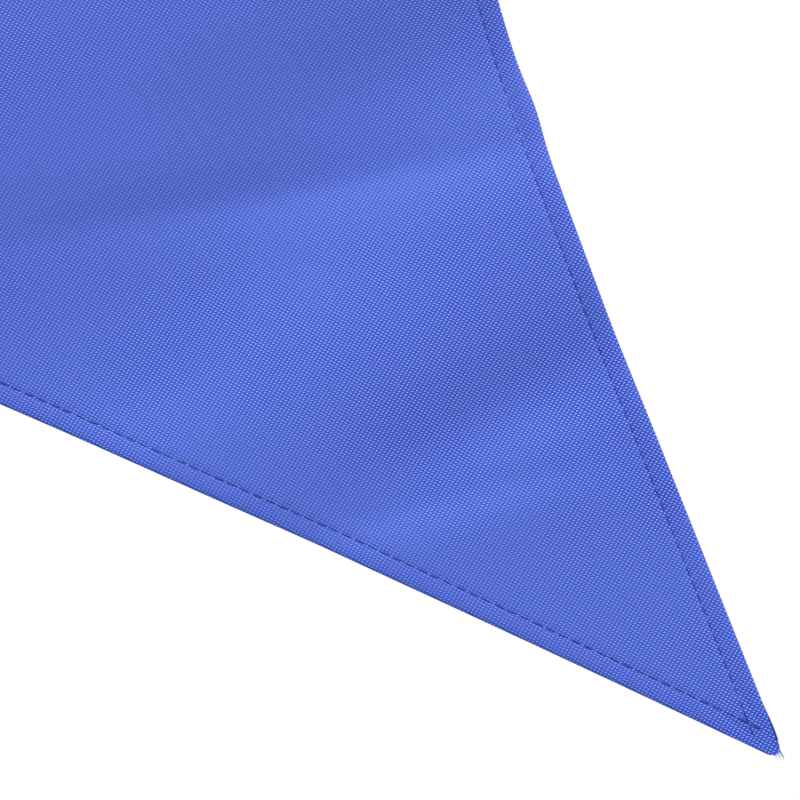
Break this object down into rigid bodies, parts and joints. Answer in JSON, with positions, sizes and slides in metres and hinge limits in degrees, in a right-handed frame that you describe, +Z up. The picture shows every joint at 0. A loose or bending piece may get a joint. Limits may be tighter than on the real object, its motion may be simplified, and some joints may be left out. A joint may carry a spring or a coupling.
{
  "type": "teardrop flag",
  "caption": "Teardrop flag: a pointed woven sail with narrow stitched hems on a bent sectional pole, turning on a spindle over a folding cross base.",
  "frame": {"origin": "on the floor, at the centre of the hub pad's underside, under the pole's axis", "axes": "+Z up along the spindle and the straight part of the pole; -X towards the sail's free edge; the sail lies in the XZ plane and faces -Y"},
  "size_m": [1.2804, 0.816, 2.6374],
  "materials": {
    "sail_cloth": "plain-woven coated polyester, soft sheen",
    "sleeve_cloth": "dense woven polyester sleeve",
    "webbing": "woven polyester webbing",
    "elastic_cord": "braided cover over rubber",
    "grommet_brass": "polished, rolled edge",
    "pole_alloy": "drawn tube, satin anodised",
    "pole_glass_fibre": "pultruded glass fibre, black",
    "ferrule_steel": "turned and brushed",
    "zinc_steel": "bright zinc plate",
    "black_powder_coat": "fine-texture powder coat on steel",
    "black_nylon": "moulded nylon",
    "white_nylon": "turned nylon",
    "black_rubber": "moulded rubber, matt"
  },
  "bodies": {
    "base": {"hub": "black_powder_coat", "hub_pad": "black_rubber", "spindle_pin": "zinc_steel", "spindle_nut": "zinc_steel", "thrust_washer": "white_nylon", "retaining_clip": "zinc_steel", "pivot_bolt_1": "zinc_steel", "pivot_bolt_2": "zinc_steel", "pivot_bolt_3": "zinc_steel", "pivot_bolt_4": "zinc_steel", "pivot_nut_1": "zinc_steel", "pivot_nut_2": "zinc_steel", "pivot_nut_3": "zinc_steel", "pivot_nut_4": "zinc_steel"},
    "flag": {"sail_panel": "sail_cloth", "pole_sleeve": "sleeve_cloth", "sleeve_end_pocket": "webbing", "tension_tab": "webbing", "tab_grommet": "grommet_brass", "tension_cord": "elastic_cord", "cord_collar": "black_nylon", "collar_screw": "zinc_steel", "pole_section_1": "pole_alloy", "pole_section_2": "pole_glass_fibre", "pole_section_3": "pole_glass_fibre", "pole_section_4": "pole_glass_fibre", "ferrule_1": "ferrule_steel", "ferrule_2": "ferrule_steel", "ferrule_3": "ferrule_steel", "pole_tip_cap": "black_rubber", "rotor_tube": "zinc_steel", "lower_bush": "white_nylon", "upper_bush": "white_nylon"},
    "leg_1_arm": {"leg_1": "black_powder_coat", "foot_1": "black_rubber"},
    "leg_2_arm": {"leg_2": "black_powder_coat", "foot_2": "black_rubber"},
    "leg_3_arm": {"leg_3": "black_powder_coat", "foot_3": "black_rubber"},
    "leg_4_arm": {"leg_4": "black_powder_coat", "foot_4": "black_rubber"}
  },
  "joints": [
    {"name": "flag_spin", "type": "hinge", "parent": "base", "child": "flag", "pos_m": [0, 0, 0.0647], "axis": [0, 0, 1], "continuous": true},
    {"name": "leg_1_fold", "type": "hinge", "parent": "base", "child": "leg_1_arm", "pos_m": [0.036, 0, 0.025], "axis": [0, 1, 0], "range_deg": [0, 90]},
    {"name": "leg_2_fold", "type": "hinge", "parent": "base", "child": "leg_2_arm", "pos_m": [0, 0.036, 0.025], "axis": [-1, 0, 0], "range_deg": [0, 90]},
    {"name": "leg_3_fold", "type": "hinge", "parent": "base", "child": "leg_3_arm", "pos_m": [-0.036, 0, 0.025], "axis": [0, -1, 0], "range_deg": [0, 90]},
    {"name": "leg_4_fold", "type": "hinge", "parent": "base", "child": "leg_4_arm", "pos_m": [0, -0.036, 0.025], "axis": [1, 0, 0], "range_deg": [0, 90]}
  ]
}
